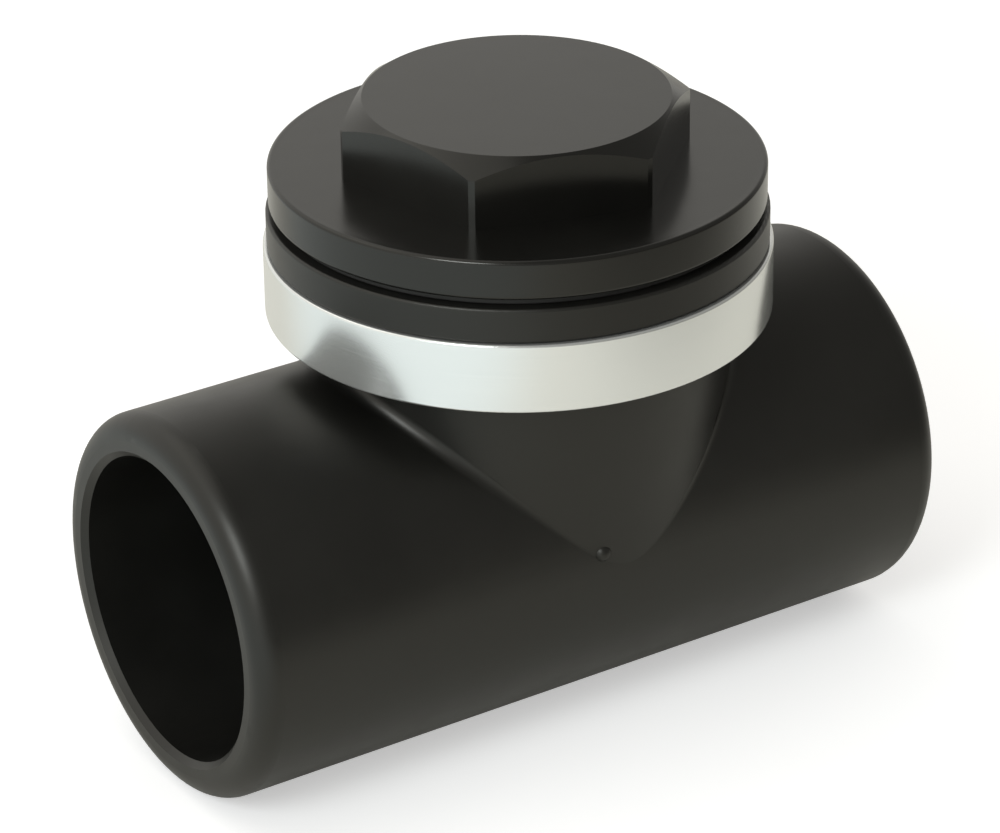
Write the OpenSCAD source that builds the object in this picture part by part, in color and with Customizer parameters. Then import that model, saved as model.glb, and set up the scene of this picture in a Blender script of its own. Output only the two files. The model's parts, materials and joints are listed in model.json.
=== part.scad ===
// Swing-flap backwater valve for drainage pipe.
// A tee with two cemented pipe sockets carries a steel-ringed collar and a screwed access plug.
// A rubber-faced flap hangs in the branch and falls shut on a tilted seat in the inlet.
// Lengths are millimetres. The valve is drawn about the crossing of run and branch,
// then shifted so that the origin lies on the run's axis at the inlet's pipe stop.
// Flow runs along +X, the plug points up along +Z, and left is +Y, seen along the flow.

/* [Run] */
// Outside diameter of the run
run_od = 63.5; // [62.5:0.5:70]
// Bore of the two pipe sockets
socket_bore = 50.2; // [49:0.1:53]
// Depth of each pipe socket, from its mouth to the pipe stop
socket_depth = 31.5; // [24:0.5:40]
// Bore of the waterway between the sockets
waterway_bore = 45; // [44.4:0.2:46]
// Length of the waterway between the inlet's pipe stop and the chamber
inlet_neck = 8.6; // [7:0.2:14]
// Length of the waterway between the chamber and the outlet's pipe stop
outlet_neck = 3.4; // [2:0.2:10]
// Radius of the rounded outer edge at each mouth
mouth_round = 4; // [1:0.1:4]
// Lead-in chamfer of each socket
mouth_lead = 1; // [0.3:0.1:1.5]

/* [Branch] */
// Bore of the chamber that the flap swings in
chamber_bore = 56; // [55.6:0.2:57.4]
// Depth of the branch's side inside the run's side, level with the run's axis
branch_inset = 0.25; // [0.1:0.05:1]
// Height of the collar's underside above the run's axis
collar_z = 36; // [35:0.5:42]
// Width of the ledge under the collar
collar_ledge = 4.4; // [1:0.1:5]
// Outside diameter of the collar's lip
collar_od = 80.5; // [76:0.5:84]
// Height of the collar's lip, above the reinforcing ring
lip_h = 5.8; // [4:0.2:10]
// Radius of the lip's rounded edges
lip_round = 0.5; // [0.3:0.1:1.5]

/* [Thread] */
// Outside diameter of the plug's thread
thread_d = 59.6; // [58.6:0.1:61]
// Depth of the thread
thread_depth = 1.5; // [1:0.1:1.8]
// Length of plain bore under the plug's shank
thread_runout = 1.5; // [0.5:0.1:2]

/* [Reinforcing ring] */
// Height of the steel ring
ring_h = 11.5; // [10:0.5:14]
// Wall of the steel ring
ring_wall = 1.5; // [1:0.1:2]
// How far the steel ring stands proud of the lip
ring_proud = 0.6; // [0.1:0.1:0.8]
// Radius of the ring's rounded edges
ring_round = 0.4; // [0.2:0.1:0.5]

/* [Screw plug] */
// Outside diameter of the plug's flange
flange_od = 79.5; // [75:0.5:84]
// Height of the plug's flange
flange_h = 6.4; // [5:0.2:9]
// Radius of the flange's rounded rim
flange_round = 0.6; // [0.3:0.1:2]
// Width of the hexagon across its flats
hex_af = 50; // [44:0.5:56]
// Height of the hexagon above the flange
hex_h = 10.8; // [8:0.2:16]
// Angle that the tightened hexagon stops at
hex_turn = 42.5; // [0:0.5:60]
// Slope of the hexagon's top chamfer
hex_chamfer = 33; // [20:1:45]
// How far the hexagon's round top face lies inside its flats
hex_face_inset = 0.5; // [0.2:0.1:2]
// How far the hexagon's corners are blunted
hex_blunt = 0.3; // [0.1:0.1:1]
// Length of the threaded shank below the flange
shank_len = 16.2; // [12:0.2:16.2]
// Wall of the hollow shank and of the hollow hexagon
plug_wall = 5; // [3:0.2:6]
// Skin left over the hollow of the plug
plug_skin = 4.4; // [3:0.2:5]
// Number of stiffening ribs under the plug
plug_ribs = 6; // [3:1:8]
// Thickness of a stiffening rib
rib_t = 2.4; // [1.5:0.1:4]
// Height of a stiffening rib, below the skin of the hexagon
rib_h = 5; // [2:0.5:8]

/* [Gasket] */
// Thickness of the plug's gasket
gasket_h = 1.3; // [1:0.1:3]
// How far the gasket lies inside the rim of the flange
gasket_inset = 1.4; // [0.5:0.1:3]
// Radius of the gasket's rounded edges
gasket_round = 0.3; // [0.1:0.1:0.4]

/* [Seat] */
// Lean of the seat, so that the flap falls shut
seat_tilt = 6; // [2:0.5:8]
// Bore of the seat's port
port_bore = 35; // [32:0.5:36]
// Width of the seat's raised bead
bead_w = 2.2; // [1.5:0.1:2.6]
// Height of the seat's raised bead
bead_h = 1.4; // [0.8:0.1:2.5]
// How far the seat ring's flange stands out of its sleeve
seat_step = 1.4; // [0.8:0.1:1.6]
// Thickness of the seat ring's flange
seat_flange_t = 3; // [2:0.2:5]

/* [Hinge] */
// Distance of the hinge upstream of the branch axis
hinge_back = 17; // [16.4:0.2:17.6]
// Diameter of the hinge pin
pin_d = 5; // [4:0.2:5.4]
// Clear width between the two hinge bosses
boss_gap = 30; // [26:0.5:32]
// Width of a hinge boss along the run
boss_w = 10; // [9:0.5:12]
// Height of a keeper above the pin
keeper_h = 4.5; // [3:0.1:5]
// Wall of a hinge bush
bush_wall = 1; // [0.8:0.1:1.2]
// Length of a hinge bush inside the arm
bush_len = 8; // [5:0.5:10]
// Thickness of a bush's flange
bush_flange_t = 1.2; // [0.8:0.1:2]
// Wall of the arm's hub round its bushes
hub_wall = 1.4; // [1.2:0.1:2]
// Gap between the arm's hub and the edge of the disc
hub_gap = 1.2; // [0.8:0.1:2]
// Angle that the flap opens to, where its heel meets the chamber's wall
open_angle = 62; // [45:1:64]

/* [Flap] */
// How far the rubber seal reaches past the seat's bead
seal_overlap = 0.8; // [0.5:0.1:1]
// Thickness of the rubber seal
seal_t = 2.5; // [1.5:0.1:3]
// Distance of the seal's face upstream of the hinge axis
seal_face = 4; // [3.6:0.1:4.4]
// Thickness of the flap's disc
disc_t = 4; // [3:0.2:4.4]
// Height of the ribs on the back of the disc
disc_rib_h = 1.5; // [1:0.1:2]
// Number of ribs on the back of the disc
disc_ribs = 8; // [6:2:10]
// Width of the rim and the ribs on the back of the disc
disc_rib_w = 2; // [1.5:0.1:3]
// Diameter of the clamp plate
plate_d = 28; // [22:0.5:30]
// Thickness of the clamp plate
plate_t = 2; // [1.5:0.1:3]
// Radius of the clamp plate's rounded edges
plate_round = 0.6; // [0.2:0.1:0.7]

/* [Hinge arm] */
// Thickness of the arm's web
arm_t = 4; // [3:0.2:5]
// Width of the arm's web at the hub
arm_w = 20; // [14:0.5:24]
// Outside diameter of the arm's ring round the bolt
arm_ring_od = 16; // [14:0.5:18]
// Width of the arm's stop heel
heel_w = 8; // [5:0.5:10]

/* [Flap bolt] */
// Diameter of the flap's bolt
bolt_d = 5; // [4:0.5:6]
// Width of the bolt head and nut across flats
nut_af = 8; // [7.5:0.5:10]
// Height of the bolt head
bolt_head_h = 3.5; // [2.5:0.1:4]
// Thickness of the rubber washer under the bolt head
bolt_seal_t = 1.2; // [0.8:0.1:2]
// Height of the nut
nut_h = 4; // [3:0.1:5]
// Length of bolt that stands out of the nut
bolt_tail = 1; // [0.5:0.1:2]
// Thickness of the washer under the nut
washer_t = 1; // [0.6:0.1:1.6]
// Outside diameter of the two washers
washer_od = 12; // [11.6:0.2:14]

/* [Gate mark] */
// Diameter of the round that the moulding gate's mark is a cap of
gate_d = 3; // [2:0.2:6]
// How far the gate's mark stands proud
gate_h = 0.8; // [0.3:0.1:1.5]
// Distance of the gate's mark upstream of the branch axis
gate_back = 5; // [2:0.5:8]
// Height of the gate's mark above the run's axis
gate_z = 5; // [3:0.5:12]

/* [Fits] */
// Radial clearance of a turning fit
running_fit = 0.05; // [0.02:0.01:0.1]
// Clearance round a piece that is cemented or pressed home
cement_fit = 0.08; // [0.02:0.01:0.15]
// Radial clearance of the screwed thread
thread_fit = 0.1; // [0.05:0.05:0.3]
// Gap between the gasket and each face that squeezes it
face_gap = 0.02; // [0.01:0.01:0.05]
// Side play of the hinge between its bosses
side_play = 0.4; // [0.2:0.1:0.8]
// Gap between the closed seal and the seat's bead, and between the open heel and the wall
stop_gap = 0.06; // [0.02:0.01:0.2]

/* [Hidden] */
$fn = 72;
// Overshoot of a cutting solid past the face that it cuts
past = 1;

chamber_r = chamber_bore / 2;
inlet_stop = -chamber_r - inlet_neck;
outlet_stop = chamber_r + outlet_neck;
inlet_mouth = inlet_stop - socket_depth;
outlet_mouth = outlet_stop + socket_depth;

// Collar, ring and plug, from the bottom up
ring_od = collar_od + 2 * ring_proud;
ring_bore = ring_od - 2 * ring_wall;
branch_low_d = run_od - 2 * branch_inset;
branch_top_d = ring_bore - 2 * collar_ledge;
lip_z = collar_z + ring_h;
collar_top = lip_z + lip_h;
flange_z = collar_top + gasket_h;
flange_top = flange_z + flange_h;
hex_top = flange_top + hex_h;
shank_z = flange_z - shank_len;
thread_z = shank_z - thread_runout;
collar_thread_d = thread_d + 2 * thread_fit;
shank_d = thread_d - 2 * thread_depth;
shank_bore = shank_d - 2 * plug_wall;
shank_roof = flange_top - plug_skin;
hex_corner_d = hex_af / cos(30);
hex_face_d = hex_af - 2 * hex_face_inset;
hex_bore = hex_af - 2 * plug_wall;
hex_roof = hex_top - plug_skin;
gasket_od = flange_od - 2 * gasket_inset;
gasket_bore = shank_d + 2 * thread_fit;

// Gate's mark, which stands on the side of the branch
gate_side_r = (branch_low_d + (branch_top_d - branch_low_d) * gate_z / collar_z) / 2;
gate_y = sqrt(pow(gate_side_r, 2) - pow(gate_back, 2)) + gate_h - gate_d / 2;

// Sizes of the flap that follow from the seat's port
bead_od = port_bore + 2 * bead_w;
disc_d = bead_od + 2 * seal_overlap;
bolt_hole_d = bolt_d + 2 * cement_fit;

// Layers of the flap, measured downstream from the hinge axis
disc_x = seal_t - seal_face;
rib_x = disc_x + disc_t;
arm_x = rib_x + disc_rib_h;
washer_x = arm_x + arm_t;
nut_x = washer_x + washer_t;
bolt_end_x = nut_x + nut_h + bolt_tail;
plate_x = -seal_face - plate_t;
bolt_seal_x = plate_x - bolt_seal_t;
bolt_head_x = bolt_seal_x - bolt_head_h;

// Hinge, with its axis set by what has to clear the disc below it
pin_r = pin_d / 2;
pin_seat_r = pin_r + running_fit;
bush_r = pin_seat_r + bush_wall;
hub_bore_r = bush_r + cement_fit;
hub_r = hub_bore_r + hub_wall;
flap_drop = disc_d / 2 + hub_gap + hub_r;
hinge_z = flap_drop * cos(seat_tilt) + seal_face * sin(seat_tilt);
hub_len = boss_gap - 2 * (side_play + bush_flange_t);
boss_top = hinge_z + pin_r + keeper_h;
slot_end = sqrt(pow(chamber_r, 2) - pow(hinge_back + pin_seat_r, 2)) - cement_fit;
// The heel's upstream corner meets the wall when the flap is open
open_lean = seat_tilt + open_angle;
heel_reach = sqrt(pow(chamber_r, 2) - pow(heel_w / 2, 2)) - hinge_back - stop_gap;
heel_h = (heel_reach - pin_r * cos(open_lean)) / sin(open_lean);

// Moves the drawing from the crossing of the axes to the inlet's pipe stop.
module place() translate([-inlet_stop, 0, 0]) children();

// Puts a piece drawn about the hinge axis in its place.
module hinge_frame() place() translate([-hinge_back, 0, hinge_z]) children();

// Leans a piece that hangs straight down from the hinge axis into its closed pose.
module flap_frame() hinge_frame() rotate([0, -seat_tilt, 0]) children();

// Turns a piece drawn along +Z about the flap's centre so that it points downstream from x.
module on_flap(x) flap_frame() translate([x, 0, -flap_drop]) rotate([0, 90, 0]) children();

// Cylinder along the run's axis, from x1 to x2.
module bar_x(x1, x2, d) translate([x1, 0, 0]) rotate([0, 90, 0]) cylinder(h = x2 - x1, d = d);

// Cylinder across the run, centred on it.
module bar_y(len, r) rotate([90, 0, 0]) cylinder(h = len, r = r, center = true);

// Flat ring or washer that stands on its lower face.
module washer(d, bore, h) difference() {
    cylinder(h = h, d = d);
    translate([0, 0, -past]) cylinder(h = h + 2 * past, d = bore);
}

// The part of a square corner that lies outside its rounding.
module corner_waste(r) difference() {
    square(r + past);
    circle(r);
}

// Turned tube with its two outer edges rounded; a bore of 0 makes it solid.
module rounded_tube(d, bore, h, round) rotate_extrude() difference() {
    translate([bore / 2, 0]) square([(d - bore) / 2, h]);
    translate([d / 2 - round, h - round]) corner_waste(round);
    translate([d / 2 - round, round]) mirror([0, 1]) corner_waste(round);
}

// One pipe socket with its lead-in chamfer, drawn from its mouth along +Z.
module socket_cut() translate([0, 0, -past]) {
    cylinder(h = socket_depth + past, d = socket_bore);
    cylinder(h = mouth_lead + past, d1 = socket_bore + 2 * (mouth_lead + past), d2 = socket_bore);
}

// Run, branch and collar before anything is bored.
module tee_outside() {
    translate([inlet_mouth, 0, 0]) rotate([0, 90, 0])
        rounded_tube(run_od, 0, outlet_mouth - inlet_mouth, mouth_round);
    cylinder(h = collar_z, d1 = branch_low_d, d2 = branch_top_d);
    translate([0, 0, collar_z]) cylinder(h = ring_h, d = ring_bore - 2 * cement_fit);
    translate([0, 0, lip_z]) rounded_tube(collar_od, 0, lip_h, lip_round);
    translate([-gate_back, -gate_y, gate_z]) sphere(d = gate_d);
}

// The two bosses on the chamber's wall that carry the hinge pin.
module hinge_bosses() intersection() {
    cylinder(h = boss_top, r = chamber_r + past);
    for (side = [0, 1]) mirror([0, side, 0])
        translate([-hinge_back - boss_w / 2, boss_gap / 2, 0]) cube([boss_w, chamber_r, boss_top]);
}

// The open slots that the pin drops into from above.
module pin_slots() translate([-hinge_back, 0, hinge_z]) {
    bar_y(2 * slot_end, pin_seat_r);
    translate([-pin_seat_r, -slot_end, 0]) cube([2 * pin_seat_r, 2 * slot_end, boss_top]);
}

module tee_body() color("#2b2b2b") place() difference() {
    union() {
        difference() {
            tee_outside();
            cylinder(h = collar_top + past, r = chamber_r);
        }
        hinge_bosses();
    }
    translate([0, 0, thread_z]) cylinder(h = collar_top - thread_z + past, d = collar_thread_d);
    bar_x(inlet_stop - past, outlet_stop + past, waterway_bore);
    bar_x(inlet_stop - past, inlet_stop + seat_flange_t, waterway_bore + 2 * seat_step);
    translate([inlet_mouth, 0, 0]) rotate([0, 90, 0]) socket_cut();
    translate([outlet_mouth, 0, 0]) rotate([0, -90, 0]) socket_cut();
    pin_slots();
}

module reinforcing_ring() color("#d5d8d6") place() translate([0, 0, collar_z])
    rounded_tube(ring_od, ring_bore, ring_h, ring_round);

// Sleeve cemented into the inlet's neck, with a funnel mouth and a raised bead on its tilted end.
module seat_ring() color("#3a3d3f") {
    sleeve_d = waterway_bore - 2 * cement_fit;
    face_x = -seal_face - stop_gap;
    difference() {
        union() {
            place() bar_x(inlet_stop, inlet_stop + seat_flange_t, sleeve_d + 2 * seat_step);
            difference() {
                place() bar_x(inlet_stop, 0, sleeve_d);
                flap_frame() translate([face_x - bead_h, -run_od, -2 * run_od])
                    cube([run_od, 2 * run_od, 3 * run_od]);
            }
            on_flap(face_x - bead_h - past) cylinder(h = bead_h + past, d = bead_od);
        }
        place() bar_x(inlet_stop - past, 0, port_bore);
        place() translate([inlet_stop - past, 0, 0]) rotate([0, 90, 0])
            cylinder(h = seat_flange_t + past, d1 = port_bore + 2 * (seat_flange_t + past), d2 = port_bore);
    }
}

module hinge_pin() color("#c4c7c8") hinge_frame() bar_y(2 * (slot_end - side_play), pin_r);

// Block pressed into a slot above the pin; side is 1 on the left and -1 on the right.
module pin_keeper(side) color("#3a3d3f") hinge_frame() {
    keeper_w = 2 * (pin_seat_r - cement_fit / 2);
    keeper_len = slot_end - side_play - boss_gap / 2;
    translate([0, side * (boss_gap / 2 + keeper_len / 2), pin_r + keeper_h / 2 + cement_fit / 2])
        cube([keeper_w, keeper_len, keeper_h - cement_fit], center = true);
}

// Hexagon with blunt corners and a turned chamfer on top.
module hex_head() intersection() {
    cylinder(h = hex_h, d = hex_corner_d, $fn = 6);
    cylinder(h = hex_h, d = hex_corner_d - 2 * hex_blunt);
    cylinder(h = hex_h, d1 = hex_face_d + 2 * hex_h / tan(hex_chamfer), d2 = hex_face_d);
}

// The plug's underside: a hollow shank, a smaller hollow in the hexagon and ribs under the hexagon's skin.
module plug_hollow() difference() {
    union() {
        translate([0, 0, shank_z - past]) cylinder(h = shank_roof - shank_z + past, d = shank_bore);
        translate([0, 0, shank_z]) cylinder(h = hex_roof - shank_z, d = hex_bore);
    }
    for (i = [0:plug_ribs - 1]) rotate([0, 0, i * 360 / plug_ribs])
        translate([0, -rib_t / 2, hex_roof - rib_h]) cube([hex_bore, rib_t, rib_h + past]);
}

module screw_plug() color("#2b2b2b") place() rotate([0, 0, hex_turn]) difference() {
    union() {
        translate([0, 0, shank_z]) cylinder(h = shank_len + past, d = shank_d);
        translate([0, 0, flange_z]) rounded_tube(flange_od, 0, flange_h, flange_round);
        translate([0, 0, flange_top]) hex_head();
    }
    plug_hollow();
}

// Flat ring that is caught on the shank by the thread below it.
module plug_gasket() color("#161616") place() translate([0, 0, collar_top + face_gap])
    rounded_tube(gasket_od, gasket_bore, gasket_h - 2 * face_gap, gasket_round);

// Side view of the arm: an upright web that leans in to the hub at its top.
module arm_side() polygon([
    [arm_x, -flap_drop - arm_ring_od], [washer_x, -flap_drop - arm_ring_od], [washer_x, -hub_r - arm_t],
    [hub_r, 0], [0, 0], [0, -hub_r], [arm_x, -hub_r - hub_gap]]);

// Face view of the arm: a web that narrows from the hub to the ring round the bolt.
module arm_face() {
    translate([0, -flap_drop]) circle(d = arm_ring_od);
    polygon([[-arm_w / 2, 0], [arm_w / 2, 0],
             [arm_ring_od / 2, -flap_drop], [-arm_ring_od / 2, -flap_drop]]);
}

module hinge_arm() color("#3a3d3f") difference() {
    flap_frame() difference() {
        union() {
            bar_y(hub_len, hub_r);
            intersection() {
                rotate([90, 0, 0]) linear_extrude(2 * arm_w, center = true) arm_side();
                rotate([90, 0, 90]) linear_extrude(washer_x) arm_face();
            }
            translate([-pin_r, -heel_w / 2, 0]) cube([pin_d, heel_w, heel_h]);
        }
        bar_y(hub_len + 2 * past, hub_bore_r);
    }
    on_flap(arm_x - past) cylinder(h = arm_t + 2 * past, d = bolt_hole_d);
}

// Flanged bush pressed into one end of the hub; side is 1 on the left and -1 on the right.
module hinge_bush(side) color("#e6e3d8") flap_frame() rotate([-90 * side, 0, 0])
    translate([0, 0, hub_len / 2]) difference() {
        union() {
            translate([0, 0, -bush_len]) cylinder(h = bush_len + bush_flange_t, r = bush_r);
            cylinder(h = bush_flange_t, r = bush_r + bush_wall);
        }
        translate([0, 0, -bush_len - past])
            cylinder(h = bush_len + bush_flange_t + 2 * past, r = pin_seat_r);
    }

// Disc with a rim, ribs and a boss on its back.
module flap_disc() color("#3a3d3f") on_flap(disc_x) difference() {
    back = disc_t + disc_rib_h;
    union() {
        cylinder(h = disc_t, d = disc_d);
        cylinder(h = back, d = arm_ring_od + disc_rib_w);
        washer(disc_d, disc_d - 2 * disc_rib_w, back);
        for (i = [0:disc_ribs - 1]) rotate([0, 0, (i + 0.5) * 360 / disc_ribs])
            translate([0, -disc_rib_w / 2, 0]) cube([(disc_d - disc_rib_w) / 2, disc_rib_w, back]);
    }
    translate([0, 0, -past]) cylinder(h = back + 2 * past, d = bolt_hole_d);
}

module flap_seal() color("#161616") on_flap(-seal_face) washer(disc_d, bolt_hole_d, seal_t);

module clamp_plate() color("#c4c7c8") on_flap(plate_x) difference() {
    rounded_tube(plate_d, 0, plate_t, plate_round);
    translate([0, 0, -past]) cylinder(h = plate_t + 2 * past, d = bolt_hole_d);
}

module flap_bolt() color("#c4c7c8") {
    on_flap(bolt_head_x) cylinder(h = bolt_head_h, d = nut_af / cos(30), $fn = 6);
    on_flap(bolt_head_x) cylinder(h = bolt_end_x - bolt_head_x, d = bolt_d);
}

module bolt_seal() color("#161616") on_flap(bolt_seal_x) washer(washer_od, bolt_hole_d, bolt_seal_t);

module flap_washer() color("#c4c7c8") on_flap(washer_x) washer(washer_od, bolt_hole_d, washer_t);

module flap_nut() color("#c4c7c8") on_flap(nut_x) difference() {
    cylinder(h = nut_h, d = nut_af / cos(30), $fn = 6);
    translate([0, 0, -past]) cylinder(h = nut_h + 2 * past, d = bolt_hole_d);
}

tee_body();
reinforcing_ring();
seat_ring();
hinge_pin();
pin_keeper(1);  // pin_keeper_left
pin_keeper(-1);  // pin_keeper_right
screw_plug();
plug_gasket();
hinge_arm();
hinge_bush(1);  // hinge_bush_left
hinge_bush(-1);  // hinge_bush_right
flap_disc();
flap_seal();
clamp_plate();
flap_bolt();
bolt_seal();
flap_washer();
flap_nut();
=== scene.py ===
"""Looks of a backwater valve: a black moulded tee with a bright steel band and a screwed hexagon plug."""

import json
import math

import bmesh
import bpy
from mathutils import Matrix, Vector


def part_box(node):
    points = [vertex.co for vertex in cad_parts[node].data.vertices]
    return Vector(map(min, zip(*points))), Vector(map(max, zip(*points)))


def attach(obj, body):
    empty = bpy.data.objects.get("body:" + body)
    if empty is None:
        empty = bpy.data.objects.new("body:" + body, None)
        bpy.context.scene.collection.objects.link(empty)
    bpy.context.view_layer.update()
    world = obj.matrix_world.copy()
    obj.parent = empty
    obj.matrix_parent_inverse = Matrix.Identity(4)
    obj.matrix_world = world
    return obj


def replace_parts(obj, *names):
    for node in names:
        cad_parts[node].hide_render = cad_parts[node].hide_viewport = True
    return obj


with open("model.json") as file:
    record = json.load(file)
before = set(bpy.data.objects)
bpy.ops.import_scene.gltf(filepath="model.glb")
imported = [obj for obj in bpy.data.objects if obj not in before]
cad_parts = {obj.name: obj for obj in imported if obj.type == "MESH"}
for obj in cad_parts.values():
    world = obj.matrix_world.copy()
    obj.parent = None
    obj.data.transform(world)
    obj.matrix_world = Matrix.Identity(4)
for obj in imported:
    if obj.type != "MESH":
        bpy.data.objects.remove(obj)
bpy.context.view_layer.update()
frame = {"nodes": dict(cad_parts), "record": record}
nodes = frame["nodes"]

# Sizes read from the frame, in metres
MM = 0.001
tee_low, tee_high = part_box("tee_body")
band_low, band_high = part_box("reinforcing_ring")
plug_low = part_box("screw_plug")[0]
run_r = -tee_low.z
run_mid = (tee_low.x + tee_high.x) / 2
branch_x = (band_low.x + band_high.x) / 2
branch_top_z = band_low.z
collar_top = tee_high.z
floor_z = tee_low.z

# Camera as the photograph was taken; angles in degrees, lens and sensor in millimetres
CAMERA_AZIMUTH = -32.952
CAMERA_ELEVATION = 27.028
CAMERA_ROLL = -0.722
CAMERA_DISTANCE = 0.73163
CAMERA_LENS = 160.06
CAMERA_SENSOR = 36.0
CAMERA_NEAR = 0.01
# Middle of the picture, seen from the middle of the run
AIM_RIGHT = -1.249 * MM
AIM_UP = 13.77 * MM

# Access thread, a 2 inch pipe thread: 11 turns to the inch
THREAD_PITCH = 2.309 * MM
THREAD_DEPTH = 1.4 * MM
THREAD_FOOT = 1.5 * MM
THREAD_CREST = 0.4 * MM
PLUG_ROOT_R = 28.3 * MM
COLLAR_ROOT_R = 29.9 * MM
THREAD_STEPS = 72
# How deep a ridge's foot is sunk into the wall that carries it
THREAD_SUNK = 0.15 * MM
# Plain length left at each end of a thread
THREAD_END = 0.7 * MM

# Branch's outside, and the fillet where it meets the run
BRANCH_LOW_R = 31.5 * MM
BRANCH_TOP_R = 34.95 * MM
FILLET_R = 2.2 * MM
FILLET_WALL = 1.1 * MM
FILLET_ROUND = 240
FILLET_ARC = 10

# Moulded edge of the plug's flange, laid a hair proud of the solid, whose own mesh is ragged there
FLANGE_R = 39.75 * MM
FLANGE_LOW_Z = 54.6 * MM
FLANGE_TOP_Z = 61.0 * MM
FLANGE_ROUND = 0.6 * MM
EDGE_PROUD = 0.015 * MM
EDGE_WIDE = 2.0 * MM
# Where the flat sides begin beside a rounded edge
EDGE_HOLD = 0.65 * MM
EDGE_STEPS = 240
EDGE_ARC = 8

# Flap's bolt and nut, an M5 pair on an axis that leans with the seat by an angle in degrees
SEAT_TILT = 6.0
BOLT_R = 2.5 * MM
NUT_AF = 8.0 * MM
NUT_H = 4.0 * MM
HEAD_H = 3.5 * MM
BOLT_SEAL_T = 1.2 * MM
BOLT_TAIL = 1.0 * MM
BOLT_PITCH = 0.8 * MM
BOLT_THREAD_H = 0.3 * MM
BOLT_THREAD_FOOT = 0.7 * MM
BOLT_THREAD_CREST = 0.1 * MM
BOLT_SIDES = 32
NUT_CHAMFER = 0.7 * MM
CHAMFER_STEPS = 3

# Angles in degrees past which an edge stays sharp, on most pieces and on the fillet
SHARP_ANGLE = 35.0
FILLET_SHARP = 60.0

# Moulded skin: scales of its noises, how they share in the gloss, and its waviness
CLOUD_SCALE = 38.0
CLOUD_FADE = (0.3, 0.7)
PATCH_SCALE = 260.0
PATCH_SHARE = 0.8
GLOSS_MIDDLE = 0.9
WAVE_SCALE = 150.0
WAVE_STRENGTH = 0.3
WAVE_DEPTH = 0.05 * MM
PLASTIC_IOR = 1.5
PLASTIC_GLOSS = (1.0, 0.985, 0.92, 1)

# Rolled lines: their scales along and across the strip, and their depth
LINES_ALONG = 30.0
LINES_ACROSS = 5200.0
LINES_STRENGTH = 0.05
LINES_DEPTH = 0.02 * MM

# Floor: half its width, the painted shade that greys its white on one side and the painted warm and cool
# reflection tint that cools it on another, both for every ray but the camera's
FLOOR_HALF = 6.0
FLOOR_ROUGHNESS = 0.9
SHEET_WHITE = (0.86, 0.86, 0.86, 1)
SHEET_PAINTED_WARM = (0.86, 0.85, 0.79, 1)
SHEET_PAINTED_COOL = (0.82, 0.88, 0.89, 1)
SHEET_PAINTED_SHADE = (0.25, 0.24, 0.22, 1)
SHADED_SIDE = (0.55, -0.84, 0.0)
SHEET_FADE = (0.16, 0.34)
COOL_SIDE = (-1.0, 0.0, 0.0)
COOL_FADE = (0.03, 0.12)
# How much the floor is lifted for the camera, near and far, and the painted glow that a gloss sees on its
# warm and cool sides
CAMERA_LIFT = 0.46
FAR_LIFT = 0.62
FAR_FADE = (0.25, 1.2)
WARM_PAINTED_GLOW = 0.06
COOL_PAINTED_GLOW = 0.23

# World: its light on matt surfaces, and what a gloss sees on its bright and shaded sides
AMBIENT = 0.56
ROOM_WARM = (1.0, 0.98, 0.93, 1)
ROOM_WHITE = (1.0, 1.0, 1.0, 1)
SHADED_SKY = (0.5, -0.55, 0.65)
SKY_BRIGHT = 0.95
SKY_SHADED = 0.25
SKY_FADE = (-0.2, 0.75)

COLOUR = "NodeSocketColor"
VALUE = "NodeSocketFloat"


def photo_camera():
    """Camera at the photograph's place, with its angles and its lens."""
    angles = (CAMERA_AZIMUTH, CAMERA_ELEVATION, CAMERA_ROLL)
    azimuth, elevation, roll = (math.radians(angle) for angle in angles)
    back = Vector((math.sin(azimuth) * math.cos(elevation), -math.cos(azimuth) * math.cos(elevation),
                   math.sin(elevation)))
    level = Vector((math.cos(azimuth), math.sin(azimuth), 0))
    upright = back.cross(level)
    right = level * math.cos(roll) + upright * math.sin(roll)
    up = upright * math.cos(roll) - level * math.sin(roll)
    data = bpy.data.cameras.new("camera")
    data.lens = CAMERA_LENS
    data.sensor_width = CAMERA_SENSOR
    data.clip_start = CAMERA_NEAR
    camera = bpy.data.objects.new("camera", data)
    turn = Matrix((right, up, back)).transposed().to_4x4()
    place = Vector((run_mid, 0, 0)) + back * CAMERA_DISTANCE + right * AIM_RIGHT + up * AIM_UP
    camera.matrix_world = Matrix.Translation(place) @ turn
    bpy.context.scene.collection.objects.link(camera)
    bpy.context.scene.camera = camera


# Material helpers

class Net:
    """Adds nodes to one node tree; a keyword sets an input, as a value or as a link from a socket."""

    def __init__(self, tree):
        self.tree = tree

    def add(self, kind, settings=None, **inputs):
        made = self.tree.nodes.new(kind)
        for name, value in (settings or {}).items():
            setattr(made, name, value)
        for name, value in inputs.items():
            self.set(made.inputs[name.replace("_", " ")], value)
        return made

    def math(self, operation, first, second):
        made = self.add("ShaderNodeMath", {"operation": operation})
        self.set(made.inputs[0], first)
        self.set(made.inputs[1], second)
        return made.outputs[0]

    def vector_math(self, operation, *values):
        made = self.add("ShaderNodeVectorMath", {"operation": operation})
        for socket, value in zip(made.inputs, values):
            self.set(socket, value)
        return made

    def blend(self, factor, first, second):
        """Mix of two values."""
        made = self.add("ShaderNodeMix", {"data_type": "FLOAT"})
        self.set(made.inputs[0], factor)
        self.set(made.inputs[2], first)
        self.set(made.inputs[3], second)
        return made.outputs[0]

    def tint(self, factor, first, second):
        """Mix of two colours."""
        made = self.add("ShaderNodeMix", {"data_type": "RGBA"})
        self.set(made.inputs[0], factor)
        self.set(made.inputs[6], first)
        self.set(made.inputs[7], second)
        return made.outputs[2]

    def set(self, socket, value):
        if isinstance(value, bpy.types.NodeSocket):
            self.tree.links.new(value, socket)
        else:
            socket.default_value = value


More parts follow.
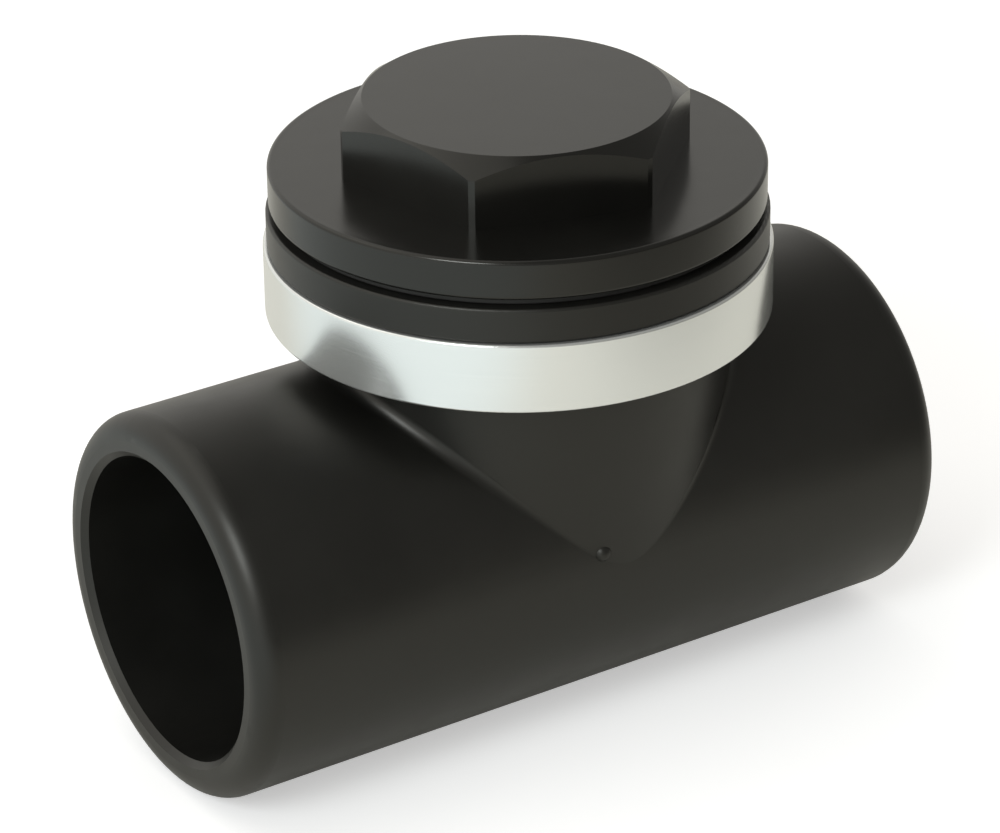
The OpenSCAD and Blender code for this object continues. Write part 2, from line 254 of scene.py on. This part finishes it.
def fade_value(net, value, start, stop, first, last):
    """Value that goes smoothly from first to last while another goes from start to stop."""
    fade = net.add("ShaderNodeMapRange", {"interpolation_type": "SMOOTHSTEP"}, Value=value)
    for name, level in (("From Min", start), ("From Max", stop), ("To Min", first), ("To Max", last)):
        net.set(fade.inputs[name], level)
    return fade.outputs["Result"]


def make_group(name, inputs, outputs):
    """Empty shader group with named sockets; returns the group, its net and its two end nodes."""
    group = bpy.data.node_groups.new(name, "ShaderNodeTree")
    for socket, (kind, value) in inputs.items():
        made = group.interface.new_socket(socket, in_out="INPUT", socket_type=kind)
        made.default_value = value
    for socket, kind in outputs.items():
        group.interface.new_socket(socket, in_out="OUTPUT", socket_type=kind)
    net = Net(group)
    return group, net, net.add("NodeGroupInput"), net.add("NodeGroupOutput")


def spread_gloss(net, given, uneven):
    """A group's gloss, made uneven by its spread."""
    return net.math("ADD", net.math("MULTIPLY", uneven, given.outputs["Spread"]), given.outputs["Gloss"])


def moulded_skin():
    """Moulded plastic: cloudy colour, uneven gloss and the slow waviness of a moulded face."""
    group, net, given, result = make_group(
        "moulded skin",
        {"Dark": (COLOUR, (0.01, 0.01, 0.01, 1)), "Light": (COLOUR, (0.02, 0.02, 0.02, 1)),
         "Gloss": (VALUE, 0.3), "Spread": (VALUE, 0.08)},
        {"Colour": COLOUR, "Roughness": VALUE, "Height": VALUE})
    place = net.add("ShaderNodeTexCoord").outputs["Object"]
    cloud = net.add("ShaderNodeTexNoise", Vector=place, Scale=CLOUD_SCALE, Detail=4.0, Roughness=0.55)
    patch = net.add("ShaderNodeTexNoise", Vector=place, Scale=PATCH_SCALE, Detail=3.0, Roughness=0.5)
    wave = net.add("ShaderNodeTexNoise", Vector=place, Scale=WAVE_SCALE, Detail=1.0, Roughness=0.4)
    soft = fade_value(net, cloud.outputs["Fac"], *CLOUD_FADE, 0.0, 1.0)
    patches = net.math("MULTIPLY", patch.outputs["Fac"], PATCH_SHARE)
    uneven = net.math("ADD", patches, net.math("SUBTRACT", soft, GLOSS_MIDDLE))
    net.set(result.inputs["Colour"], net.tint(soft, given.outputs["Dark"], given.outputs["Light"]))
    net.set(result.inputs["Roughness"], spread_gloss(net, given, uneven))
    net.set(result.inputs["Height"], wave.outputs["Fac"])
    return group


def rolled_lines():
    """Fine lines that run round the Z axis, as on rolled strip."""
    group, net, given, result = make_group(
        "rolled lines",
        {"Gloss": (VALUE, 0.2), "Spread": (VALUE, 0.1)},
        {"Lines": VALUE, "Roughness": VALUE})
    place = net.add("ShaderNodeTexCoord").outputs["Object"]
    drawn = net.vector_math("MULTIPLY", place, (LINES_ALONG, LINES_ALONG, LINES_ACROSS)).outputs[0]
    lines = net.add("ShaderNodeTexNoise", Vector=drawn, Scale=1.0, Detail=3.0, Roughness=0.6).outputs["Fac"]
    net.set(result.inputs["Lines"], lines)
    net.set(result.inputs["Roughness"], spread_gloss(net, given, lines))
    return group


def start_material(name, **constants):
    """New material with a principled shader whose constant sockets are set."""
    material = bpy.data.materials.new(name)
    material.use_nodes = True
    net = Net(material.node_tree)
    shader = material.node_tree.nodes["Principled BSDF"]
    for socket, value in constants.items():
        shader.inputs[socket.replace("_", " ")].default_value = value
    return material, net, shader


def place_group(net, group, **inputs):
    made = net.add("ShaderNodeGroup", {"node_tree": group})
    for name, value in inputs.items():
        net.set(made.inputs[name], value)
    return made


def rough_with(net, shader, height, strength, distance):
    bump = net.add("ShaderNodeBump", Height=height, Strength=strength, Distance=distance)
    net.set(shader.inputs["Normal"], bump.outputs["Normal"])


def moulded_plastic(name, dark, light, gloss, spread):
    material, net, shader = start_material(name, IOR=PLASTIC_IOR, Specular_Tint=PLASTIC_GLOSS)
    skin = place_group(net, MOULDED_SKIN, Dark=dark, Light=light, Gloss=gloss, Spread=spread)
    net.set(shader.inputs["Base Color"], skin.outputs["Colour"])
    net.set(shader.inputs["Roughness"], skin.outputs["Roughness"])
    rough_with(net, shader, skin.outputs["Height"], WAVE_STRENGTH, WAVE_DEPTH)
    return material


def steel(name, dark, light, gloss, spread, metal=1.0):
    material, net, shader = start_material(name, Metallic=metal)
    lines = place_group(net, ROLLED_LINES, Gloss=gloss, Spread=spread)
    net.set(shader.inputs["Base Color"], net.tint(lines.outputs["Lines"], dark, light))
    net.set(shader.inputs["Roughness"], lines.outputs["Roughness"])
    rough_with(net, shader, lines.outputs["Lines"], LINES_STRENGTH, LINES_DEPTH)
    return material


MOULDED_SKIN = moulded_skin()
ROLLED_LINES = rolled_lines()

FINISHES = {
    "body_plastic": moulded_plastic(
        "body black", dark=(0.0055, 0.0054, 0.0047, 1), light=(0.0085, 0.0083, 0.0072, 1),
        gloss=0.4, spread=0.06),
    "plug_plastic": moulded_plastic(
        "plug black", dark=(0.0045, 0.0044, 0.0039, 1), light=(0.007, 0.0069, 0.006, 1),
        gloss=0.22, spread=0.05),
    "inner_plastic": moulded_plastic(
        "inner grey", dark=(0.05, 0.053, 0.056, 1), light=(0.068, 0.071, 0.074, 1),
        gloss=0.36, spread=0.08),
    "bush_plastic": moulded_plastic(
        "bush white", dark=(0.66, 0.63, 0.55, 1), light=(0.74, 0.72, 0.64, 1),
        gloss=0.32, spread=0.05),
    "seal_rubber": moulded_plastic(
        "seal rubber", dark=(0.018, 0.018, 0.018, 1), light=(0.03, 0.03, 0.03, 1),
        gloss=0.58, spread=0.12),
    "band_steel": steel(
        "band steel", dark=(0.76, 0.78, 0.77, 1), light=(0.88, 0.89, 0.87, 1),
        gloss=0.14, spread=0.1, metal=0.82),
    "inner_steel": steel(
        "inner steel", dark=(0.55, 0.56, 0.56, 1), light=(0.66, 0.67, 0.66, 1),
        gloss=0.24, spread=0.12),
}


def finish_solids():
    """Gives each solid of the frame the finish of its material slot."""
    for subpart in frame["record"]["subparts"]:
        solid = nodes[subpart["node"]]
        solid.data.materials.clear()
        solid.data.materials.append(FINISHES[subpart["material_slot"]])


def add_piece(name, shape, slot, body, sharp=SHARP_ANGLE):
    """Turns a bmesh into a piece with a slot's finish that rides on a body."""
    bmesh.ops.recalc_face_normals(shape, faces=shape.faces)
    mesh = bpy.data.meshes.new(name)
    shape.to_mesh(mesh)
    shape.free()
    mesh.shade_smooth()
    mesh.set_sharp_from_angle(angle=math.radians(sharp))
    mesh.materials.append(FINISHES[slot])
    piece = bpy.data.objects.new(name, mesh)
    bpy.context.scene.collection.objects.link(piece)
    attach(piece, body)
    return piece


# Pieces

def screw_ridge(shape, root_r, crest_r, pitch, foot, crest, z_low, z_high):
    """Adds a right-hand ridge about the Z axis to a bmesh, from one height to another."""
    sunk_r = root_r - math.copysign(THREAD_SUNK, crest_r - root_r)
    section = ((sunk_r, 0), (sunk_r, foot), (crest_r, (foot + crest) / 2), (crest_r, (foot - crest) / 2))
    corners = [shape.verts.new((radius, 0, z_low + rise)) for radius, rise in section]
    profile = shape.faces.new(corners)
    steps = round((z_high - z_low - foot) / pitch * THREAD_STEPS)
    bmesh.ops.spin(shape, geom=[profile, *profile.edges, *profile.verts], cent=(0, 0, 0), axis=(0, 0, 1),
                   dvec=(0, 0, pitch / THREAD_STEPS), angle=steps * 2 * math.pi / THREAD_STEPS,
                   steps=steps)


def access_thread(name, root_r, crest_r, z_low, z_high, half_turns, slot, body):
    """One side of the access thread; the two sides lie half a turn apart."""
    shape = bmesh.new()
    screw_ridge(shape, root_r, crest_r, THREAD_PITCH, THREAD_FOOT, THREAD_CREST, z_low, z_high)
    turn = Matrix.Rotation(half_turns * math.pi, 3, "Z")
    bmesh.ops.rotate(shape, verts=shape.verts, cent=(0, 0, 0), matrix=turn)
    bmesh.ops.translate(shape, verts=shape.verts, vec=(branch_x, 0, 0))
    add_piece(name, shape, slot, body)


def access_threads():
    shank_z = plug_low.z + THREAD_END
    access_thread("plug_thread", PLUG_ROOT_R, PLUG_ROOT_R + THREAD_DEPTH, shank_z,
                  collar_top - THREAD_END, 0, "plug_plastic", "plug")
    access_thread("collar_thread", COLLAR_ROOT_R, COLLAR_ROOT_R - THREAD_DEPTH, shank_z,
                  collar_top - THREAD_END, 1, "body_plastic", "valve_body")


def flange_edge():
    """Rounded edge of the plug's flange; its flat sides run slightly into the flange, so no step shows."""
    shape = bmesh.new()
    outer, inner, held = FLANGE_R + EDGE_PROUD, FLANGE_R - EDGE_WIDE, FLANGE_R - EDGE_HOLD
    low, top = FLANGE_LOW_Z - EDGE_PROUD, FLANGE_TOP_Z + EDGE_PROUD
    section = ((inner, low + 2 * EDGE_PROUD), (held, low), (outer, low), (outer, low + EDGE_HOLD),
               (outer, top - EDGE_HOLD), (outer, top), (held, top), (inner, top - 2 * EDGE_PROUD))
    corners = [shape.verts.new((radius, 0, height)) for radius, height in section]
    sides = [shape.edges.new((corners[i - 1], corners[i])) for i in range(len(corners))]
    bmesh.ops.spin(shape, geom=[*corners, *sides], cent=(0, 0, 0), axis=(0, 0, 1), angle=2 * math.pi,
                   steps=EDGE_STEPS, use_merge=True)
    corner_verts = {vert for vert in shape.verts if vert.co.xy.length > held + EDGE_PROUD
                    and not low + EDGE_PROUD < vert.co.z < top - EDGE_PROUD}
    rims = [edge for edge in shape.edges if corner_verts.issuperset(edge.verts)]
    bmesh.ops.bevel(shape, geom=rims, offset=FLANGE_ROUND, affect="EDGES", segments=EDGE_ARC, profile=0.5,
                    material=-1)
    bmesh.ops.translate(shape, verts=shape.verts, vec=(branch_x, 0, 0))
    add_piece("flange_edge", shape, "plug_plastic", "plug")


def fillet_point(turn, across):
    """Point on the path of a ball that rolls round the branch and touches it and the run."""
    slope = (BRANCH_TOP_R - BRANCH_LOW_R) / branch_top_z
    stretch = math.hypot(1, slope)
    reach = run_r + FILLET_R
    start = BRANCH_LOW_R + FILLET_R * stretch
    side = math.sin(turn) ** 2
    a, b, c = 1 + slope ** 2 * side, start * slope * side, start ** 2 * side - reach ** 2
    height = (math.sqrt(b * b - a * c) - b) / a
    radius = start + slope * height
    centre = Vector((radius * math.cos(turn), radius * math.sin(turn), height))
    to_run = -Vector((0, centre.y, centre.z)).normalized()
    to_branch = -Vector((math.cos(turn), math.sin(turn), -slope)).normalized()
    return centre + FILLET_R * to_run.slerp(to_branch, across)


def saddle_fillet():
    """Moulded fillet round the foot of the branch."""
    shape = bmesh.new()
    bmesh.ops.create_grid(shape, x_segments=FILLET_ROUND, y_segments=FILLET_ARC, size=0.5)
    for vert in shape.verts:
        vert.co = fillet_point((vert.co.x + 0.5) * 2 * math.pi, vert.co.y + 0.5)
    bmesh.ops.remove_doubles(shape, verts=shape.verts, dist=0.001 * MM)
    bmesh.ops.recalc_face_normals(shape, faces=shape.faces)
    bmesh.ops.solidify(shape, geom=shape.faces, thickness=FILLET_WALL)
    bmesh.ops.translate(shape, verts=shape.verts, vec=(branch_x, 0, 0))
    add_piece("saddle_fillet", shape, "body_plastic", "valve_body", FILLET_SHARP)


def flap_axis(centre):
    """Places a fastener drawn along +Z on the flap's leaning axis."""
    lean = Matrix.Rotation(math.radians(90 - SEAT_TILT), 4, "Y")
    return Matrix.Translation(centre) @ lean


def hex_prism(shape, height, z_low, chamfered):
    """Adds a hexagon with clipped corners on the ends that are named, low or high, to a bmesh."""
    corner_r = NUT_AF / 2 / math.cos(math.pi / 6)
    base = bmesh.ops.create_circle(shape, cap_ends=True, segments=6, radius=corner_r)["verts"]
    bmesh.ops.translate(shape, verts=base, vec=(0, 0, z_low))
    region = bmesh.ops.extrude_face_region(shape, geom=[f for f in shape.faces if base[0] in f.verts])
    top = [item for item in region["geom"] if isinstance(item, bmesh.types.BMVert)]
    bmesh.ops.translate(shape, verts=top, vec=(0, 0, height))
    ends = {"low": base, "high": top}
    corners = [vert for end in chamfered for vert in ends[end]]
    bmesh.ops.bevel(shape, geom=corners, offset=NUT_CHAMFER, affect="VERTICES", segments=CHAMFER_STEPS,
                    profile=0.5, material=-1)


def round_bar(shape, radius, z_low, z_high, rounding):
    """Adds a bar along Z with rounded ends to a bmesh."""
    verts = bmesh.ops.create_cone(shape, cap_ends=True, segments=BOLT_SIDES, radius1=radius,
                                  radius2=radius, depth=z_high - z_low)["verts"]
    bmesh.ops.translate(shape, verts=verts, vec=(0, 0, (z_low + z_high) / 2))
    rims = {edge for vert in verts for edge in vert.link_edges
            if abs(edge.verts[0].co.z - edge.verts[1].co.z) < rounding / 10}
    bmesh.ops.bevel(shape, geom=list(rims), offset=rounding, affect="EDGES", segments=CHAMFER_STEPS,
                    profile=0.5, material=-1)


def flap_fasteners():
    """Bolt and nut with chamfered hexagons and a cut thread, in place of the plain ones."""
    nut_low, nut_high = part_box("flap_nut")
    seal_low, seal_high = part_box("bolt_seal")
    nut_centre = (nut_low + nut_high) / 2
    seal_centre = (seal_low + seal_high) / 2
    grip = (nut_centre - seal_centre).length
    bolt = bmesh.new()
    under_head = -BOLT_SEAL_T / 2
    tail = grip + NUT_H / 2 + BOLT_TAIL
    hex_prism(bolt, HEAD_H, under_head - HEAD_H, ("low",))
    core_r = BOLT_R - BOLT_THREAD_H
    round_bar(bolt, core_r, under_head - HEAD_H / 2, tail, BOLT_THREAD_H)
    screw_ridge(bolt, core_r, BOLT_R, BOLT_PITCH, BOLT_THREAD_FOOT, BOLT_THREAD_CREST,
                grip - NUT_H / 2, tail)
    bmesh.ops.transform(bolt, matrix=flap_axis(seal_centre), verts=bolt.verts)
    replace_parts(add_piece("threaded_bolt", bolt, "inner_steel", "flap"), "flap_bolt")
    nut = bmesh.new()
    hex_prism(nut, NUT_H, -NUT_H / 2, ("low", "high"))
    bmesh.ops.transform(nut, matrix=flap_axis(nut_centre), verts=nut.verts)
    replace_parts(add_piece("chamfered_nut", nut, "inner_steel", "flap"), "flap_nut")


# Stage

def seen_rays(net):
    """Masks of the rays that come from the camera and of those that come from a gloss or a glass."""
    path = net.add("ShaderNodeLightPath")
    mirrored = net.math("MAXIMUM", path.outputs["Is Glossy Ray"], path.outputs["Is Transmission Ray"])
    return path.outputs["Is Camera Ray"], mirrored


def fade_along(net, place, direction, start, stop, first, last):
    """Value that goes smoothly from first to last between two distances along a direction."""
    along = net.vector_math("DOT_PRODUCT", place, Vector(direction).normalized())
    return fade_value(net, along.outputs["Value"], start, stop, first, last)


def floor_sheet():
    """White sheet; every ray but the camera's sees painted shade that greys it towards the front right and
    a painted warm and cool tint, and a gloss also sees a painted glow; the camera sees it white, with the
    shadow.
    """
    material, net, shader = start_material("floor white with painted shade", Roughness=FLOOR_ROUGHNESS, Specular_IOR_Level=0.0)
    place = net.add("ShaderNodeTexCoord").outputs["Object"]
    camera, mirrored = seen_rays(net)
    # Painted shade: greys the floor towards the front right for every ray but the camera's
    clear_of_painted_shade = fade_along(net, place, SHADED_SIDE, *SHEET_FADE, 1.0, 0.0)
    # Painted reflection tint: cool towards the left, warm elsewhere, for every ray but the camera's
    painted_cool_mask = fade_along(net, place, COOL_SIDE, *COOL_FADE, 0.0, 1.0)
    sheet = net.tint(clear_of_painted_shade, SHEET_PAINTED_SHADE, net.tint(painted_cool_mask, SHEET_PAINTED_WARM, SHEET_PAINTED_COOL))
    net.set(shader.inputs["Base Color"], net.tint(camera, sheet, SHEET_WHITE))
    net.set(shader.inputs["Emission Color"], net.tint(camera, sheet, ROOM_WHITE))
    # Painted glow that only a gloss sees, away from the painted shade
    painted_glow = net.math("MULTIPLY", clear_of_painted_shade, net.blend(painted_cool_mask, WARM_PAINTED_GLOW, COOL_PAINTED_GLOW))
    far = net.vector_math("LENGTH", place).outputs["Value"]
    white = fade_value(net, far, *FAR_FADE, CAMERA_LIFT, FAR_LIFT)
    lift = net.blend(camera, net.math("MULTIPLY", mirrored, painted_glow), white)
    net.set(shader.inputs["Emission Strength"], lift)
    return material


def stage_floor():
    shape = bmesh.new()
    bmesh.ops.create_grid(shape, x_segments=1, y_segments=1, size=FLOOR_HALF)
    bmesh.ops.translate(shape, verts=shape.verts, vec=(0, 0, floor_z))
    mesh = bpy.data.meshes.new("floor")
    shape.to_mesh(mesh)
    shape.free()
    mesh.materials.append(floor_sheet())
    floor = bpy.data.objects.new("floor", mesh)
    bpy.context.scene.collection.objects.link(floor)


def studio_world():
    """White surroundings that darken towards the front right, as beside a lit sheet in a darker room."""
    world = bpy.data.worlds.new("studio")
    world.use_nodes = True
    net = Net(world.node_tree)
    background = world.node_tree.nodes["Background"]
    direction = net.add("ShaderNodeTexCoord").outputs["Generated"]
    sky = fade_along(net, direction, SHADED_SKY, *SKY_FADE, SKY_BRIGHT, SKY_SHADED)
    camera, mirrored = seen_rays(net)
    level = net.blend(camera, net.blend(mirrored, AMBIENT, sky), 1.0)
    net.set(background.inputs["Color"], net.tint(camera, ROOM_WARM, ROOM_WHITE))
    net.set(background.inputs["Strength"], level)
    bpy.context.scene.world = world


def softbox(name, direction, distance, size, radiance, colour):
    """Square area lamp that looks at the object from a direction, as bright as radiance times white."""
    data = bpy.data.lights.new(name, "AREA")
    data.color = colour
    data.size = size
    data.energy = radiance * math.pi * size * size
    lamp = bpy.data.objects.new(name, data)
    away = Vector(direction).normalized()
    lamp.location = Vector((run_mid, 0, 0)) + away * distance
    lamp.rotation_mode = "QUATERNION"
    lamp.rotation_quaternion = (-away).to_track_quat("-Z", "Y")
    bpy.context.scene.collection.objects.link(lamp)


def studio_lamps():
    """Small lamp at the left that makes the glints, and a wide dim one overhead."""
    softbox("key softbox", direction=(-0.7, -0.4, 0.55), distance=1.0, size=0.36, radiance=9.0,
            colour=(0.95, 1.0, 1.02))
    softbox("top softbox", direction=(-0.3, 0.3, 0.9), distance=1.3, size=1.2, radiance=0.5,
            colour=(1.0, 0.98, 0.93))


bpy.context.scene.view_settings.view_transform = "Standard"
photo_camera()
finish_solids()
access_threads()
flange_edge()
saddle_fillet()
flap_fasteners()
stage_floor()
studio_world()
studio_lamps()
